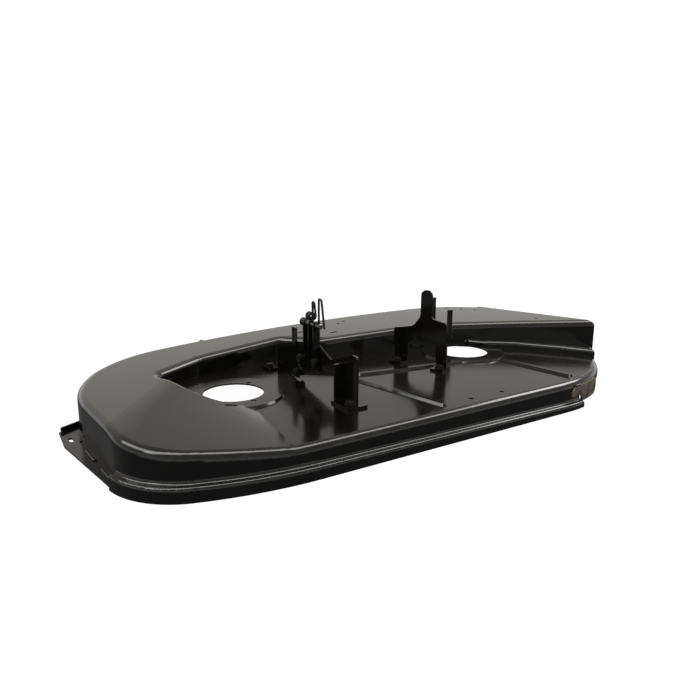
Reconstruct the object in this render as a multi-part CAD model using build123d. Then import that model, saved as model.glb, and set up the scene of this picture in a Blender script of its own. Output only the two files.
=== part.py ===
from build123d import *
import os
from math import cos, degrees, radians, sin, tan

# Cutting deck of a ride-on mower: one stamped steel shell with a volute tunnel, and the brackets fixed to it.
# Millimetres, +Z up. X runs along the straight rear edge towards the discharge side, and Y runs forward.
# The origin lies on the ground, under the midpoint of the two spindle openings.

# Shell: driving sizes
SPINDLE_SPACING = 508.0
SPINDLE_BORE = 100.0
SHEET = 2.6
TABLE_HEIGHT = 48.0
ROOF_HEIGHT = 89.0           # tunnel roof above the ground at X = 0
ROOF_RISE_DEG = 1.45         # the roof climbs towards the discharge
REAR_REACH = 262.0           # spindle line to the rear wall
FRONT_RADIUS = 240.0         # front walls, about each spindle
FRONT_BULGE = 22.0           # how far the front wall bows out between the spindles
FRONT_LEFT_DEG = 100.0       # where that bow meets the round ends, about each spindle
FRONT_RIGHT_DEG = 76.0
RIGHT_FLAT_DEG = (-8.0, 39.0)    # straight run at the right end, about the right spindle
REAR_BOW_RADIUS = 550.0      # the rear wall bows in from the left spindle towards the corner
REAR_BOW_DEG = 18.0          # and turns by this much before the tighter corner
EDGE_RADIUS = 12.0           # press radius along the outer top edge
CREST_RADIUS = 12.0          # press radius along the tunnel's inner top edge
ROOT_RADIUS = 8.0            # press radius where the tunnel's inner wall meets the table
CREASE_RADIUS = 60.0         # soft bend where the roof turns into the ramp
RIM_OUT = 11.0
RIM_HEIGHT = 15.5            # at X = 0
RIM_TAPER_DEG = 0.8          # the rim gets lower towards the discharge
RIM_RADIUS = 5.0
FLARE_RADIUS = 5.0           # wall to rim
FLARE_STOP = SPINDLE_SPACING / 2 + 176   # past this X the walls belong to the discharge and have no flare
LEFT_END = -SPINDLE_SPACING / 2 - FRONT_RADIUS
RIM_GAP = [(LEFT_END - 66, -150), (LEFT_END + 94, 140)]   # plan area of the corner plate, without a rim

# Tunnel's inner wall in plan, from the ramp's foot round the pocket to beyond the discharge
WALL_BY_LEFT = [(1, -62), (-46, -52), (-106, 74), (0, 131)]          # from the left spindle
WALL_BETWEEN = [(-72, 170), (-4, 106)]                               # from the middle
WALL_BY_RIGHT = [(-96, 90), (24, 54), (137, -14), (386, -180)]       # from the right spindle
INNER_RADII = [60, 26, 60, 22, 22, 120, 150, 150]
ROOT_START = 0.3             # where the wall's root radius starts, as a share of the second run
ROOT_STOP = 0.34             # where it stops, as a share of the last run
CREASE = [(-90, 45), (-FRONT_RADIUS, -120)]      # where the roof turns into the ramp, from the left spindle
RAMP_FOOT = [(1, -62), (-16, -REAR_REACH)]     # where the ramp meets the table, from the left spindle
RAMP_DIP = 3.0               # the ramp ends this far under the table, so that it runs out into it
RAMP_RUN = 8.0               # and this far past its foot line

# Discharge opening
DISCHARGE_EDGE = [(277, -112), (187, 152)]       # from the right spindle
DISCHARGE_FROM_DEG = -80.0
DISCHARGE_TO_DEG = 38.0
DISCHARGE_LIP = 20.0         # turned-down edge that stays under the table

# Ledge along the foot of the tunnel's inner wall, towards the discharge: plan corners from the right spindle
LEDGE = [(38, 50), (70, 4), (122, -41), (176, -118), (222, -200), (400, -200), (400, -160), (170, 0), (80, 62)]
LEDGE_HEIGHT = 62.0
LEDGE_RADIUS = 7.0

# Pressings and holes in the table
BOSS_RADIUS = 86.0
BOSS_HEIGHT = 3.5
BEAD_WIDTH = 16.0
BEAD_HEIGHT = 4.0
PRESS_TAPER_DEG = 40.0
BEADS = [[(-14, -20), (206, -57)], [(-34, -52), (-2, -232)], [(279, -86), (301, -232)]]
SPINDLE_BOLT_CIRCLE = 116.0
SPINDLE_BOLT_COUNT = 3
SPINDLE_BOLT_HOLE = 8.5
SPINDLE_BOLT_START_DEG = -82.0
TABLE_HOLES = [(60, -230), (130, -230)]
TABLE_HOLE = 8.0
DRAIN_SLOT = (-38, -72)      # from the left spindle
DRAIN_SLOT_SIZE = (22.0, 7.0)
ROOF_HOLES = [(84, 201), (106, 213), (371, 182), (389, 153), (408, 128), (450, -15)]
ROOF_HOLE = 7.0
ROOF_SLOT = (36, 143)
ROOF_SLOT_SIZE = (18.0, 7.0)

# Corner plate at the left end
CORNER_SHEET = 3.0
CORNER_PLATE = [(-16, 98), (-23, 33), (-7, -149.5), (54, -149.5), (54, 135), (29, 122)]   # from the left end
CORNER_FLANGE = [(-12, 98.5), (24, 117.5)]
CORNER_FLANGE_HEIGHT = 10.0
CORNER_SLOT = (-8, 54)
CORNER_SLOT_SIZE = (18.0, 7.0)

# Hanger brackets: heights in the profiles are above the table
BRACKET_SHEET = 4.0
LEFT_WEB_X = -117.0
LEFT_WEB = [(96, 0), (96, 55), (40, 64), (-40, 79), (-84, 58), (-148, 79), (-160, 79), (-160, 0), (-122, 0),
            (-118, 38), (52, 0)]
LEFT_FEET = [((-140, 90), (-96, 118)), ((-144, -176), (-106, -122))]
LEFT_FOOT_BOLTS = [(-105, 106), (-130, 106), (-130, -158)]
LEFT_LEG_FLANGE = (-122.0, 18.0, 62.0)      # forward place, depth, height
LEFT_WEB_BOLTS = [(5, 41), (-43, 43)]
KEEPER_BOLT = (20, 12)
RIGHT_FOOT = (112.0, 15.0)
RIGHT_TURN_DEG = -70.0
RIGHT_WEB = [(-16, 0), (-19, 65), (24, 74), (38.5, 93), (38.5, 144), (62, 144), (63, 91), (94, 86), (97, 0), (76, 0),
             (71, 50), (56, 55), (28, 50), (14, 40), (12, 0)]
RIGHT_WEB_RADII = [3, 6, 14, 14, 11, 11, 6, 6, 3, 3, 8, 10, 10, 8, 3]
RIGHT_EAR_FLANGE = (62.0, 16.0, 88.0, 130.0)    # place along the web, depth, low and high end
RIGHT_FEET = [((-16, 0), (12, 26)), ((76, 0), (102, 28))]
RIGHT_FOOT_BOLTS = [(-2, 16), (89, 17)]
PLATE_RADIUS = 5.0

# Hanger channel, lift pin and clips on the left bracket
CHANNEL_SHEET = 3.0
CHANNEL_PLATE = [(20, 30), (-53, 30), (-53, 108), (-19, 108), (-19, 64), (20, 54)]
CHANNEL_FLANGES = [-22.0, -38.0, -53.0]
CHANNEL_DEPTH = 13.0
CHANNEL_LOW = 60.0
CHANNEL_HIGH = 116.0
PIN_RADIUS = 4.5
PIN_HEIGHT = 110.0           # above the table
PIN_ENDS = (-12.0, -66.0)
PIN_HEAD_RADIUS = 7.0
PIN_HEAD_LENGTH = 4.0
PIN_CROSS_HOLE = -60.0
CLIP_WIRE = 1.5
COIL_RADIUS = 5.5
COIL_PITCH = 3.4
COIL_LENGTH = 13.6
COIL_START = -28.0
INNER_LOOP = [(-41.6, 121), (-40, 148), (-46, 148), (-51, 124)]
OUTER_LOOP = [(-60, 98), (-60, 156), (-68, 156), (-77, 108)]
LOOP_RADIUS = 2.9

# Belt keepers
KEEPER_SHEET = 3.0
LEFT_KEEPER = [(13, 3), (28, 3), (36, 30), (36, 92), (31, 92), (31, 66), (27, 66), (27, 92), (22, 92), (22, 28),
               (13, 18)]
RIGHT_KEEPER_SHARE = 0.657   # place along the tunnel's inner wall, as a share of its length
RIGHT_KEEPER_WIDTH = 11.0
RIGHT_KEEPER_HEIGHT = 68.0
RIGHT_KEEPER_LIFT = 2.0      # above the wall's root radius
RIGHT_KEEPER_GAP = 0.4       # flat strap welded against the curved wall

# Chute hinge bracket at the near end of the discharge
HINGE_DEG = (-86.0, -64.0)   # about the right spindle
HINGE_LOW = 8.5
HINGE_HEIGHT = 31.0
HINGE_SHEET = 3.0
HINGE_HOLE = 7.0

# Front hanger ear
EAR_X = -197.0
EAR_SHEET = 4.0
EAR_LOW = 44.0
EAR_HEIGHT = 36.0
EAR_REACH = 38.0             # past the front radius, so that it stands clear of the bowed wall
EAR_HOLE = 10.0

# Fasteners
BOLT = 8.0
BOLT_HOLE = 8.6
HEAD_FLATS = 13.0
HEAD_HEIGHT = 5.5
NUT_HEIGHT = 6.5
BOLT_PAST = 9.0              # shank past what it clamps

# Working room for cutting tools and run-outs
ABOVE = 220.0
FAR_OUT = SPINDLE_SPACING / 2 + 386
REAR_OUT = REAR_REACH + 160
RUN_OUT = 300.0
OVERRUN = 50.0               # how far the ramp's cutter runs past its lines, inwards
STEEP_DEG = 45.0             # edges steeper than this are corners of walls
NEAR = 1.5                   # reach within which an edge belongs to a line
SUNK = 0.15                  # how far a swept radius sinks into the faces it joins
FIT = 0.2                    # gap between pieces that are welded or bolted together

LEFT = Vector(-SPINDLE_SPACING / 2, 0)
RIGHT = Vector(SPINDLE_SPACING / 2, 0)


def by(centre, points):
    """Plan points that are given from a centre."""
    return [(centre.X + x, centre.Y + y) for x, y in points]


INNER_WALL = by(LEFT, WALL_BY_LEFT) + WALL_BETWEEN + by(RIGHT, WALL_BY_RIGHT)
ROOF_SLOPE = tan(radians(ROOF_RISE_DEG))
RIM_SLOPE = tan(radians(RIM_TAPER_DEG))


def polar(centre, radius, angle):
    """Plan point at a radius and an angle in degrees about a centre."""
    return Vector(centre.X + radius * cos(radians(angle)), centre.Y + radius * sin(radians(angle)))


def stretched(line, before, after):
    """A plan line's two ends, moved outwards along it."""
    start, end = Vector(*line[0]), Vector(*line[1])
    along = (end - start).normalized()
    return start - along * before, end + along * after


def grown(face, amount):
    """A plan face with its edge moved outwards, or inwards by a negative amount."""
    return offset(face, amount) if amount else face


def roof_at(x):
    """Height of the tunnel roof above the ground."""
    return ROOF_HEIGHT + ROOF_SLOPE * x


# Plans of the shell

def outline():
    """The deck's walls: straight rear edge, round ends about the spindles, bowed front."""
    bow_end = 270 - REAR_BOW_DEG
    bow_centre = Vector(LEFT.X, REAR_BOW_RADIUS - REAR_REACH)
    bow = polar(bow_centre, REAR_BOW_RADIUS, bow_end)
    corner_radius = (bow.X - LEFT_END) / (1 + cos(radians(bow_end)))
    corner = polar(bow, -corner_radius, bow_end)
    front_right = polar(RIGHT, FRONT_RADIUS, FRONT_RIGHT_DEG)
    front_left = polar(LEFT, FRONT_RADIUS, FRONT_LEFT_DEG)
    flat_from, flat_to = RIGHT_FLAT_DEG
    crown = Vector((front_right.X + front_left.X) / 2, FRONT_RADIUS + FRONT_BULGE)
    return make_face([
        Line((LEFT.X, -REAR_REACH), (RIGHT.X, -REAR_REACH)),
        CenterArc(RIGHT, REAR_REACH, -90, flat_from + 90),
        Line(polar(RIGHT, REAR_REACH, flat_from), polar(RIGHT, FRONT_RADIUS, flat_to)),
        CenterArc(RIGHT, FRONT_RADIUS, flat_to, FRONT_RIGHT_DEG - flat_to),
        ThreePointArc(front_right, crown, front_left),
        CenterArc(LEFT, FRONT_RADIUS, FRONT_LEFT_DEG, 180 - FRONT_LEFT_DEG),
        Line((LEFT_END, 0), (LEFT_END, corner.Y)),
        CenterArc(corner, corner_radius, 180, bow_end - 180),
        CenterArc(bow_centre, REAR_BOW_RADIUS, bow_end, REAR_BOW_DEG),
    ])


def full_plan():
    """The walls with the tunnel run on past the discharge, to be cut off there later."""
    front_right = polar(RIGHT, FRONT_RADIUS, RIGHT_FLAT_DEG[1])
    inside = polar(RIGHT, FRONT_RADIUS / 2, RIGHT_FLAT_DEG[1])
    run_out = Polyline(INNER_WALL[-2], INNER_WALL[-1], (FAR_OUT, FRONT_RADIUS), front_right, inside, close=True)
    return Sketch() + outline() + make_face(run_out)


def inner_wall(points=INNER_WALL, radii=INNER_RADII):
    """Plan line of the tunnel's inner wall through its corners."""
    return FilletPolyline(*points, radius=radii)


def pocket():
    """Everything on the table's side of the tunnel and the ramp."""
    foot = stretched(by(LEFT, RAMP_FOOT), 0, EDGE_RADIUS)[1]
    back = Polyline(INNER_WALL[-1], (FAR_OUT, -REAR_OUT), (foot.X, -REAR_OUT), foot, INNER_WALL[0])
    return make_face([*inner_wall().edges(), *back.edges()])


# Solids of the shell, each as the outer form moved inwards by an inset

def ramp_cutter(inset):
    """What lies above the ramp: a ruled surface from the roof's crease to its foot on the table."""
    top_in, top_out = stretched(by(LEFT, CREASE), OVERRUN, FRONT_RADIUS)
    foot_in, foot_out = stretched(by(LEFT, RAMP_FOOT), OVERRUN, FRONT_RADIUS)
    along = (foot_out - foot_in).normalized()
    run = Vector(-along.Y, along.X) * RAMP_RUN
    sections = []
    for start, end, low_start, low_end in (
        (top_in, top_out, roof_at(top_in.X), roof_at(top_out.X)),
        (foot_in + run, foot_out + run, TABLE_HEIGHT - RAMP_DIP, TABLE_HEIGHT - RAMP_DIP),
    ):
        sections.append(make_face(Polyline(
            (start.X, start.Y, low_start - inset), (end.X, end.Y, low_end - inset),
            (end.X, end.Y, ABOVE), (start.X, start.Y, ABOVE), close=True)))
    return loft(sections, ruled=True)


def near_line(edge, line, reach):
    """Whether an edge's middle lies within a reach of a plan line."""
    middle = edge @ 0.5
    return line.distance_to(Vertex(middle.X, middle.Y, 0)) < reach


def tunnel(inset):
    """Tunnel and ramp, with their pressed edges."""
    body = extrude(grown(full_plan(), -inset) - grown(pocket(), inset), ABOVE)
    body = split(body, Plane((0, 0, ROOF_HEIGHT - inset), z_dir=(-ROOF_SLOPE, 0, 1)), keep=Keep.BOTTOM)
    body -= ramp_cutter(inset)
    wall, deck = inner_wall(), outline().wire()
    crease = Line(*by(LEFT, CREASE))
    reach = inset + NEAR
    low = TABLE_HEIGHT - inset - RAMP_DIP + NEAR / 3

    def tops():
        flat = [e for e in body.edges() if abs((e % 0.5).Z) < cos(radians(STEEP_DEG))]
        return [e for e in flat if (e @ 0.5).Z > low]

    bends = [e for e in tops() if near_line(e, crease, reach) and e.length > FRONT_RADIUS / 3]
    body = fillet(bends, CREASE_RADIUS)
    body = fillet([e for e in tops() if near_line(e, wall, reach)], CREST_RADIUS - inset)
    outer = [e for e in tops() if near_line(e, deck, reach) and not near_line(e, wall, reach)]
    return fillet(outer, EDGE_RADIUS - inset)


def root(inset):
    """Hollow radius between the tunnel's inner wall and the table, swept along the wall."""
    first, second = Vector(*INNER_WALL[1]), Vector(*INNER_WALL[2])
    last, final = Vector(*INNER_WALL[-2]), Vector(*INNER_WALL[-1])
    ends = first + (second - first) * ROOT_START, last + (final - last) * ROOT_STOP
    wire = Wire(inner_wall([ends[0], *INNER_WALL[2:-1], ends[1]], INNER_RADII[1:]).edges())
    if inset:
        wire = wire.offset_2d(inset, side=Side.LEFT, closed=False)
    radius = ROOT_RADIUS + inset
    tangent = wire % 0
    plane = Plane(wire @ 0, x_dir=(tangent.Y, -tangent.X, 0), z_dir=tangent)
    plane.origin += Vector(0, 0, TABLE_HEIGHT - inset)
    far, near = radius - SUNK, -SUNK
    middle = (radius * (1 - cos(radians(45))) - SUNK, radius * (1 - sin(radians(45))) - SUNK)
    section = make_face([
        Polyline((near, far), (-1, far), (-1, -1), (far, -1), (far, near)),
        ThreePointArc((far, near), middle, (near, far)),
    ])
    raised = wire.moved(Location((0, 0, TABLE_HEIGHT - inset)))
    return sweep(plane * section, path=raised)


def table(inset):
    """Flat table with its rounded edge."""
    body = extrude(grown(outline(), -inset), TABLE_HEIGHT - inset)
    return fillet(body.edges().group_by(Axis.Z)[-1], EDGE_RADIUS - inset)


def pressings(inset):
    """Raised bosses round the spindle openings, and stiffening beads."""
    solids = []
    base = TABLE_HEIGHT - inset - 1
    for centre in (LEFT, RIGHT):
        disc = Pos(centre.X, centre.Y, base) * Circle(BOSS_RADIUS - inset)
        solids.append(extrude(disc, BOSS_HEIGHT + 1, taper=PRESS_TAPER_DEG))
    for start, end in BEADS:
        line = Line(start, end)
        strip = Pos(0, 0, base) * SlotCenterToCenter(line.length, BEAD_WIDTH - 2 * inset)
        turned = Pos(*(line @ 0.5)) * Rot(0, 0, line.tangent_angle_at(0)) * strip
        solids.append(extrude(turned, BEAD_HEIGHT + 1, taper=PRESS_TAPER_DEG))
    return solids


def ledge(inset):
    """Low step in front of the tunnel's inner wall, on its way to the discharge."""
    face = make_face(Polyline(*by(RIGHT, LEDGE), close=True)) & outline()
    body = extrude(grown(face, -inset), LEDGE_HEIGHT - inset)
    return fillet(body.edges().group_by(Axis.Z)[-1], LEDGE_RADIUS - inset)


def rim_top(inset):
    """Sloped plane of the rim's top."""
    return Plane((0, 0, RIM_HEIGHT - inset), z_dir=(RIM_SLOPE, 0, 1))


def lies_on(edge, plane):
    """Whether an edge lies in a plane along its whole length."""
    return all(abs(plane.to_local_coords(edge @ share).Z) < 0.01 for share in (0, 0.3, 0.7, 1))


def rim(inset):
    """Turned-out rim at the foot of the walls, lower towards the discharge."""
    top = rim_top(inset)
    body = split(extrude(grown(full_plan(), RIM_OUT - inset), 3 * RIM_HEIGHT), top, keep=Keep.BOTTOM)
    return fillet([e for e in body.edges() if lies_on(e, top)], RIM_RADIUS - inset)


def rim_gap(inset):
    """What is left out of the rim at the corner plate."""
    (low_x, low_y), (high_x, high_y) = RIM_GAP
    gap = Pos((low_x + high_x) / 2, (low_y + high_y) / 2) * Rectangle(high_x - low_x, high_y - low_y)
    return extrude(grown(gap, inset) - grown(full_plan(), -inset), 3 * RIM_HEIGHT)


def form(inset):
    """The whole pressed form, as a solid block."""
    body = tunnel(inset) + table(inset) + root(inset) + ledge(inset)
    for solid in pressings(inset):
        body += solid
    body += rim(inset)
    walls = grown(full_plan(), -inset).wire()
    foot = [e for e in body.edges() if lies_on(e, rim_top(inset)) and near_line(e, walls, 0.3)]
    flare = [e for e in foot if (e @ 0.5).X < FLARE_STOP and e.length > 2 * RIM_OUT]
    return fillet(flare, FLARE_RADIUS + inset) - rim_gap(inset)


def right_of_discharge():
    """Everything past the discharge edge."""
    start, end = stretched(by(RIGHT, DISCHARGE_EDGE), RUN_OUT, RUN_OUT)
    away = Polyline(start, end, (FAR_OUT + RUN_OUT, end.Y), (FAR_OUT + RUN_OUT, start.Y), close=True)
    return extrude(Pos(0, 0, -1) * make_face(away), ABOVE)


def discharge_gap():
    """The open side under the table's turned-down edge."""
    inner, outer = REAR_REACH - 40, FAR_OUT
    sweep_deg = DISCHARGE_TO_DEG - DISCHARGE_FROM_DEG
    face = make_face([
        CenterArc(RIGHT, inner, DISCHARGE_FROM_DEG, sweep_deg),
        Line(polar(RIGHT, inner, DISCHARGE_TO_DEG), polar(RIGHT, outer, DISCHARGE_TO_DEG)),
        CenterArc(RIGHT, outer, DISCHARGE_FROM_DEG, sweep_deg),
        Line(polar(RIGHT, inner, DISCHARGE_FROM_DEG), polar(RIGHT, outer, DISCHARGE_FROM_DEG)),
    ])
    return extrude(Pos(0, 0, -1) * face, TABLE_HEIGHT - DISCHARGE_LIP + 1)


def hole(x, y, diameter):
    """A punched hole's cutting tool."""
    return Pos(x, y, ABOVE / 2) * Cylinder(diameter / 2, ABOVE)


def slot(x, y, size):
    """A punched slot's cutting tool, long along X."""
    return extrude(Pos(x, y, 0) * SlotOverall(*size), ABOVE)


def holes():
    """All that is punched through the table and the roof."""
    tools = []
    step = 360 / SPINDLE_BOLT_COUNT
    for centre in (LEFT, RIGHT):
        tools.append(hole(centre.X, centre.Y, SPINDLE_BORE))
        for i in range(SPINDLE_BOLT_COUNT):
            spot = polar(centre, SPINDLE_BOLT_CIRCLE / 2, SPINDLE_BOLT_START_DEG + i * step)
            tools.append(hole(spot.X, spot.Y, SPINDLE_BOLT_HOLE))
    tools += [hole(x, y, TABLE_HOLE) for x, y in TABLE_HOLES]
    tools += [hole(x, y, ROOF_HOLE) for x, y in ROOF_HOLES]
    tools += [hole(x, y, BOLT_HOLE) for x, y in foot_bolts()]
    tools.append(slot(LEFT.X + DRAIN_SLOT[0], LEFT.Y + DRAIN_SLOT[1], DRAIN_SLOT_SIZE))
    tools.append(slot(*ROOF_SLOT, ROOF_SLOT_SIZE))
    return tools


def deck_shell():
    """The stamped sheet: outer form less the same form moved in by the sheet, open below and at the discharge."""
    shell = form(0) - form(SHEET)
    shell -= right_of_discharge()
    shell -= discharge_gap()
    for tool in holes():
        shell -= tool
    return shell


# Brackets and what they carry

def on_table(height=0.0):
    """Height above the ground of something that stands on the table."""
    return TABLE_HEIGHT + FIT + height


def right_plane():
    """Upright plane of the right bracket's web: X along the web, Y up, Z towards the rear left."""
    turn = radians(RIGHT_TURN_DEG)
    along = Vector(cos(turn), sin(turn), 0)
    return Plane((*RIGHT_FOOT, on_table()), x_dir=along, z_dir=along.cross(Vector(0, 0, 1)))


def right_spot(along, out):
    """Plan point by its place along the right bracket's web and out from it."""
    return right_plane().from_local_coords(Vector(along, 0, out))


def foot_bolts():
    """Plan points of every bolt that goes through the table."""
    return LEFT_FOOT_BOLTS + [(right_spot(*spot).X, right_spot(*spot).Y) for spot in RIGHT_FOOT_BOLTS]


def upright(points, radius=PLATE_RADIUS):
    """Face in the YZ plane from forward and height pairs above the table, with rounded corners."""
    face = make_face(Polyline(*points, close=True))
    return Pos(0, 0, on_table()) * (Plane.YZ * fillet(face.vertices(), radius))


def pad(low, high, height, thickness):
    """Flat plate between two plan corners."""
    face = Rectangle(high[0] - low[0], high[1] - low[1])
    face = fillet(face.vertices(), PLATE_RADIUS)
    return extrude(Pos((low[0] + high[0]) / 2, (low[1] + high[1]) / 2, height) * face, thickness)


def side_hole(y, height):
    """Cutting tool of a bolt hole through the left bracket's web and what is fixed to it."""
    return Pos(LEFT_WEB_X, y, on_table(height)) * Rot(0, 90, 0) * Cylinder(BOLT_HOLE / 2, 10 * BRACKET_SHEET)


def left_corner_plate():
    """Flat plate welded to the left end, with an upturned edge."""
    walls = grown(outline(), FIT)
    end = Vector(LEFT_END, 0)
    face = make_face(Polyline(*by(end, CORNER_PLATE), close=True)) - walls
    plate = extrude(face, CORNER_SHEET)
    edge = Line(*by(end, CORNER_FLANGE))
    strip = Pos(*(edge @ 0.5)) * Rot(0, 0, edge.tangent_angle_at(0)) * Rectangle(edge.length, CORNER_SHEET)
    plate += extrude(strip, CORNER_FLANGE_HEIGHT) - extrude(walls, ABOVE)
    (spot,) = by(end, [CORNER_SLOT])
    return plate - Pos(*spot) * Rot(0, 0, 90) * extrude(SlotOverall(*CORNER_SLOT_SIZE), ABOVE)


def front_hanger_ear():
    """Rounded ear that stands on the front wall, for the lift link."""
    reach = FRONT_RADIUS + EAR_REACH
    face = Pos(reach / 2, EAR_HEIGHT / 2) * Rectangle(reach, EAR_HEIGHT)
    face = fillet(face.vertices().sort_by(Axis.X)[-2:], EAR_HEIGHT / 2 - 0.1)
    face -= Pos(reach - EAR_HEIGHT / 2, EAR_HEIGHT / 2) * Circle(EAR_HOLE / 2)
    ear = Pos(EAR_X - EAR_SHEET / 2, 0, EAR_LOW) * extrude(Plane.YZ * face, EAR_SHEET)
    return ear - extrude(grown(outline(), FIT), ABOVE)


def left_hanger_bracket():
    """Bridge-shaped plate with its two feet and a stiffening flange on the near leg."""
    web_x = LEFT_WEB_X - BRACKET_SHEET / 2
    body = Pos(web_x, 0, 0) * extrude(upright(LEFT_WEB), BRACKET_SHEET)
    for low, high in LEFT_FEET:
        body += pad(low, high, on_table(), BRACKET_SHEET)
    place, depth, height = LEFT_LEG_FLANGE
    flange = Box(depth + BRACKET_SHEET, BRACKET_SHEET, height)
    body += Pos(web_x + (BRACKET_SHEET - depth) / 2, place - BRACKET_SHEET / 2, on_table(height / 2)) * flange
    for x, y in LEFT_FOOT_BOLTS:
        body -= hole(x, y, BOLT_HOLE)
    for y, height in [*LEFT_WEB_BOLTS, KEEPER_BOLT]:
        body -= side_hole(y, height)
    return body


def left_face():
    """X of the left bracket web's outer face."""
    return LEFT_WEB_X - BRACKET_SHEET / 2 - FIT


def left_hanger_channel():
    """Upright channel with three flanges, bored for the lift pin."""
    back = left_face()
    body = Pos(back - CHANNEL_SHEET, 0, 0) * extrude(upright(CHANNEL_PLATE, 4), CHANNEL_SHEET)
    for y in CHANNEL_FLANGES:
        height = CHANNEL_HIGH - CHANNEL_LOW
        face = Rectangle(CHANNEL_DEPTH, height)
        face = fillet(face.vertices().group_by(Axis.Y)[-1], CHANNEL_DEPTH / 2 - 0.1)
        flange = extrude(Plane.XZ * face, -CHANNEL_SHEET)
        body += Pos(back - CHANNEL_DEPTH / 2, y, on_table(CHANNEL_LOW + height / 2)) * flange
    body -= pin_axis() * Cylinder(PIN_RADIUS + FIT, 4 * ABOVE)
    for y, height in LEFT_WEB_BOLTS:
        body -= side_hole(y, height)
    return body


def pin_axis():
    """Place of the lift pin's axis, with Z towards the rear."""
    return Pos(left_face() - CHANNEL_DEPTH / 2, 0, on_table(PIN_HEIGHT)) * Rot(90, 0, 0)


def lift_pin():
    """Headed pin with a cross hole for its clip."""
    start, end = PIN_ENDS
    shank = Pos(0, 0, -(start + end) / 2) * Cylinder(PIN_RADIUS, start - end)
    shank = chamfer(shank.edges().sort_by(Axis.Z)[-1], PIN_RADIUS / 4)
    head = Pos(0, 0, -start - PIN_HEAD_LENGTH / 2) * Cylinder(PIN_HEAD_RADIUS, PIN_HEAD_LENGTH)
    head = fillet(head.edges().sort_by(Axis.Z)[0], PIN_HEAD_LENGTH / 3)
    pin = pin_axis() * (shank + head)
    cross = Pos(pin_axis().position.X, PIN_CROSS_HOLE, on_table(PIN_HEIGHT))
    return pin - cross * Cylinder(CLIP_WIRE + FIT, 4 * PIN_RADIUS)


def bent_wire(points):
    """Round wire bent through forward and height pairs, in the pin's upright plane."""
    path = Plane.YZ * FilletPolyline(*points, radius=LOOP_RADIUS)
    start = Plane(path @ 0, z_dir=path % 0)
    return Pos(pin_axis().position.X, 0, on_table()) * sweep(start * Circle(CLIP_WIRE), path=path)


def retainer_clip_inner():
    """Spring clip with a coil that rests on the channel, and a loop above it."""
    coil_height = CHANNEL_HIGH + COIL_RADIUS + CLIP_WIRE + FIT
    coil = Helix(COIL_PITCH, COIL_LENGTH, COIL_RADIUS)
    wire = sweep(Plane(coil @ 0, z_dir=coil % 0) * Circle(CLIP_WIRE), path=coil)
    wire = Pos(pin_axis().position.X, COIL_START, on_table(coil_height)) * Rot(90, 0, 0) * wire
    return wire + bent_wire(INNER_LOOP)


def retainer_clip_outer():
    """Hairpin clip through the pin's cross hole."""
    return bent_wire(OUTER_LOOP)


def left_belt_keeper():
    """Thin forked strap bolted to the left bracket."""
    body = Pos(left_face() - KEEPER_SHEET, 0, 0) * extrude(upright(LEFT_KEEPER, 1.5), KEEPER_SHEET)
    return body - side_hole(*KEEPER_BOLT)


def right_hanger_bracket():
    """Bridge-shaped plate with a tall ear, a flange along the ear, and two feet."""
    plane = right_plane()
    face = make_face(FilletPolyline(*RIGHT_WEB, radius=RIGHT_WEB_RADII, close=True).edges())
    body = extrude(plane * face, BRACKET_SHEET)
    place, depth, low, high = RIGHT_EAR_FLANGE
    flange = Pos(place - BRACKET_SHEET / 2, (low + high) / 2, BRACKET_SHEET - depth / 2)
    body += plane * flange * Box(BRACKET_SHEET, high - low, depth)
    for low, high in RIGHT_FEET:
        middle = Vector((low[0] + high[0]) / 2, BRACKET_SHEET / 2, (low[1] + high[1]) / 2)
        body += plane * Pos(*middle) * Box(high[0] - low[0], BRACKET_SHEET, high[1] - low[1])
    for spot in RIGHT_FOOT_BOLTS:
        point = right_spot(*spot)
        body -= hole(point.X, point.Y, BOLT_HOLE)
    return body


def keeper_plane():
    """Upright plane on the tunnel's inner wall at the right keeper's foot: Z towards the table, Y up."""
    wall = inner_wall()
    spot, along = wall @ RIGHT_KEEPER_SHARE, wall % RIGHT_KEEPER_SHARE
    height = TABLE_HEIGHT + ROOT_RADIUS + RIGHT_KEEPER_LIFT
    return Plane((spot.X, spot.Y, height), x_dir=along, z_dir=along.cross(Vector(0, 0, 1)))


def right_belt_keeper():
    """Upright strap welded to the tunnel's inner wall."""
    face = Rectangle(RIGHT_KEEPER_WIDTH, RIGHT_KEEPER_HEIGHT)
    face = fillet(face.vertices(), KEEPER_SHEET / 2)
    face = Pos(0, RIGHT_KEEPER_HEIGHT / 2, RIGHT_KEEPER_GAP) * face
    return keeper_plane().location * extrude(face, KEEPER_SHEET)


def hinge_plane(angle):
    """Upright plane on the rear wall, at an angle about the right spindle: Z outwards, Y up."""
    spot = polar(RIGHT, REAR_REACH, angle)
    out = Vector(cos(radians(angle)), sin(radians(angle)), 0)
    return Plane((spot.X, spot.Y, HINGE_LOW + HINGE_HEIGHT / 2), x_dir=Vector(0, 0, 1).cross(out), z_dir=out)


def hinge_eye_deg():
    """Angle of the hinge hole, in the middle of the tab's round end."""
    return HINGE_DEG[1] - degrees(HINGE_HEIGHT / 2 / REAR_REACH)


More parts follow.
